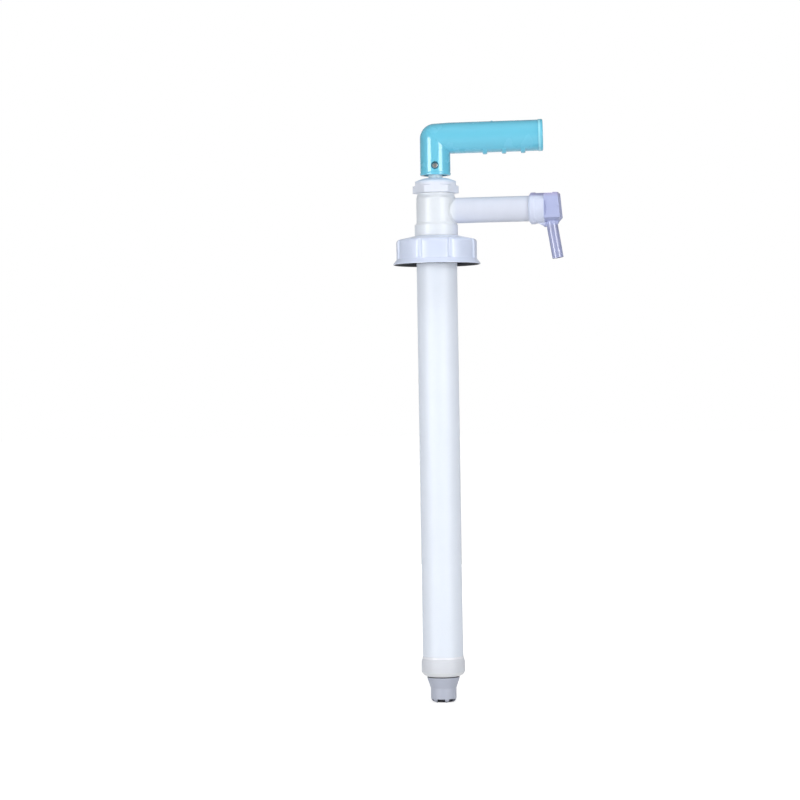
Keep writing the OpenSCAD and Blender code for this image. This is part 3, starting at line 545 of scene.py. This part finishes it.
own_finishes = {
    "gland_nut": plastic(
        "nut_plastic", NUT_WHITE, COOL_SHADE, 0.5, 0.15, softness=1.1 * MM,
        # Painted reflection: the nut's top is tinted blue, standing in for the handle mirrored in it.
        zones=[(up, NUT_TOP - 3.4 * MM, NUT_TOP - 1.4 * MM, DOME_REFLECTED_BLUE)]
    ),
    "pump_rod": plastic(
        "rod_plastic", NUT_WHITE, COOL_SHADE, 0.4, 0.15, (1, 1, 0.03),
        # Painted reflection and light: the rod turns pale blue towards the top, standing in for the handle
        # mirrored in it and for light in the shade beneath the handle.
        zones=[(up, NUT_TOP - 30 * MM, NUT_TOP, ROD_REFLECTED_BLUE)]
    ),
    "grip_end_cap": plastic(
        "end_cap_plastic", SKY_BLUE, BLUE_SHADE, **blue_look, zones=[
            # Painted highlight: a pale band round the end cap's lip.
            (along_grip, GRIP_END + 0.4 * MM, GRIP_END + 1.0 * MM, END_HIGHLIGHT_BLUE),
            (along_grip, GRIP_REACH - 0.9 * MM, GRIP_REACH - 0.4 * MM, SKY_BLUE)
        ]
    ),
}


def dress_nodes():
    slots = {part["node"]: part["material_slot"] for part in frame["record"]["subparts"]}
    for name, node in nodes.items():
        for slot in node.material_slots:
            slot.material = own_finishes.get(name) or finishes[slots[name]]
    even = nodes["handle"].modifiers.new("even_shading", "WEIGHTED_NORMAL")
    even.keep_sharp = True
    even.weight = 100


# ---- Details that the solids leave out ----

SEAM_STEPS = 96
ELBOW_STEPS = 12
GATE_STEPS = 24
GATE_PLACE = 36.6 * MM
LEG_BEAD_TOP = LEG_LOW + 2.2 * MM
SMOOTH_UP_TO = 50
DEG = math.radians(1)


def loft(name, body, loops, material, ring=True):
    """A closed skin through cross-sections, each a closed loop of points. ring joins last to first."""
    shell = bmesh.new()
    rows = [[shell.verts.new(point) for point in loop] for loop in loops]
    for first, second in zip(rows, rows[1:] + rows[:1] if ring else rows[1:]):
        for i in range(len(first)):
            j = (i + 1) % len(first)
            shell.faces.new((first[i], first[j], second[j], second[i]))
    if not ring:
        shell.faces.new(rows[0])
        shell.faces.new(rows[-1])
    bmesh.ops.recalc_face_normals(shell, faces=shell.faces)
    mesh = bpy.data.meshes.new(name)
    shell.to_mesh(mesh)
    shell.free()
    for face in mesh.polygons:
        face.use_smooth = True
    mesh.set_sharp_from_angle(angle=SMOOTH_UP_TO * DEG)
    mesh.materials.append(material)
    piece = bpy.data.objects.new(name, mesh)
    bpy.context.scene.collection.objects.link(piece)
    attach(piece, body)


def add_cement_bead():
    """Cement squeezed out round the barrel where it enters the foot collar, a little uneven."""
    width, height, sunk = 0.33 * MM, 1.5 * MM, 0.1 * MM
    outline = ((-1, -1), (1, -1), (1, 0.2), (0.8, 0.55), (0.4, 0.85), (-1, 1))
    loops = []
    for i in range(SEAM_STEPS):
        turn = 360 * DEG * i / SEAM_STEPS
        swell = 1 + 0.1 * math.sin(5 * turn) * math.sin(3 * turn + 1)
        loop = []
        for out, rise in outline:
            r = BARREL_R + (out * width if out > 0 else -sunk)
            z = COLLAR_TOP + (rise * height * swell if rise > 0 else -sunk)
            loop.append((r * math.cos(turn), r * math.sin(turn), z))
        loops.append(loop)
    bead = plastic("cement", BEAD_WHITE, COOL_SHADE, 0.35, 0.2, coat=0.3)
    loft("cement_bead", "pump_body", loops, bead)


def add_spout_fillet():
    """The hollow in which the spout's pipe flows into the head: the path of a ball rolled along both."""
    sunk, steps, widest, least = 0.25 * MM, 5, 1.3 * MM, 0.05 * MM
    loops = []
    for i in range(SEAM_STEPS):
        turn = 360 * DEG * i / SEAM_STEPS
        room = widest
        if math.sin(turn) > 0:
            room = (HEAD_BODY_TOP - SPOUT_Z) / math.sin(turn) - SPOUT_R
        f = min(max(room, least), widest)
        y, z = (SPOUT_R + f) * math.cos(turn), SPOUT_Z + (SPOUT_R + f) * math.sin(turn)
        ball = Vector((math.sqrt((HEAD_BODY_R + f) ** 2 - y ** 2), y, z))
        to_head = -Vector((ball.x, ball.y, 0)).normalized()
        to_pipe = -Vector((0, math.cos(turn), math.sin(turn)))
        loop = [ball + to_head.slerp(to_pipe, k / steps) * f for k in range(steps + 1)]
        y, z = (SPOUT_R - sunk) * math.cos(turn), SPOUT_Z + (SPOUT_R - sunk) * math.sin(turn)
        loop.append(Vector((math.sqrt((HEAD_BODY_R - sunk) ** 2 - y ** 2), y, z)))
        loops.append(loop)
    loft("spout_fillet", "pump_body", loops, finishes["cream_plastic"])


def add_parting_line(name, path):
    """A low ridge along a path of places and outward normals, which lie in the handle's own plane."""
    width, height, sunk = 0.25 * MM, 0.12 * MM, 0.15 * MM
    loops = []
    for place, out in path:
        foot = place - out * sunk
        loops.append([foot - grip_side * width, place + out * height, foot + grip_side * width])
    loft(name, "plunger", loops, finishes["blue_plastic"], ring=False)


def add_parting_lines():
    """The mould's halves met in the plane through leg and grip."""
    elbow = up * GRIP_Z
    half_way = (LEG_BEAD_TOP + GRIP_Z) / 2
    outer = [(up * z - grip_out * LEG_R, -grip_out) for z in (LEG_BEAD_TOP, half_way)]
    for k in range(ELBOW_STEPS + 1):
        turn = k / ELBOW_STEPS * (90 * DEG + GRIP_RISE)
        out = up * math.sin(turn) - grip_out * math.cos(turn)
        outer.append((elbow + out * LEG_R, out))
    outer += [(elbow + along_grip * x + across_grip * GRIP_R, across_grip) for x in (LEG_R, GRIP_END)]
    add_parting_line("handle_parting_line_outer", outer)
    corner_shade = GRIP_Z - GRIP_R
    half_way = (LEG_BEAD_TOP + corner_shade) / 2
    inner = [(up * z + grip_out * LEG_R, grip_out) for z in (LEG_BEAD_TOP, half_way, corner_shade)]
    add_parting_line("handle_parting_line_leg", inner)
    under = [(elbow + along_grip * x - across_grip * GRIP_R, -across_grip) for x in (LEG_R, GRIP_END)]
    add_parting_line("handle_parting_line_grip", under)


def add_gate_mark():
    """The stub on top of the grip where the plastic was let into the mould, broken off hollow."""
    place = up * GRIP_Z + along_grip * GATE_PLACE + across_grip * GRIP_R
    outline = ((0.1, -0.3), (0.75, -0.3), (0.62, 0.34), (0.42, 0.42), (0.22, 0.24), (0.1, 0.2))
    loops = []
    for i in range(GATE_STEPS):
        turn = 360 * DEG * i / GATE_STEPS
        side = along_grip * math.cos(turn) + grip_side * math.sin(turn)
        loops.append([place + (side * r + across_grip * z) * MM for r, z in outline])
    loft("gate_mark", "plunger", loops, finishes["blue_plastic"])


add_camera()
add_world()
add_floor()
add_softbox("key_left", LEFT_ANGLE, KEY_DISTANCE, LEFT_HEIGHT, LEFT_SIZE, LEFT_POWER)
add_softbox("key_right", RIGHT_ANGLE, KEY_DISTANCE, RIGHT_HEIGHT, RIGHT_SIZE, RIGHT_POWER)
add_softbox("low_left", LEFT_ANGLE, KEY_DISTANCE, LOW_HEIGHT, LOW_SIZE, LOW_POWER, mirrored=False)
add_softbox("low_right", RIGHT_ANGLE, KEY_DISTANCE, LOW_HEIGHT, LOW_SIZE, LOW_POWER, mirrored=False)
add_softbox(
    "overhead", 0, OVERHEAD_DISTANCE, OVERHEAD_HEIGHT, OVERHEAD_SIZE, OVERHEAD_POWER, mirrored=False
)
add_softbox("back", 180, KEY_DISTANCE, BACK_HEIGHT, BACK_SIZE, BACK_POWER, mirrored=False)
dress_nodes()
add_cement_bead()
add_spout_fillet()
add_parting_lines()
add_gate_mark()

bpy.context.scene.view_settings.view_transform = "Standard"
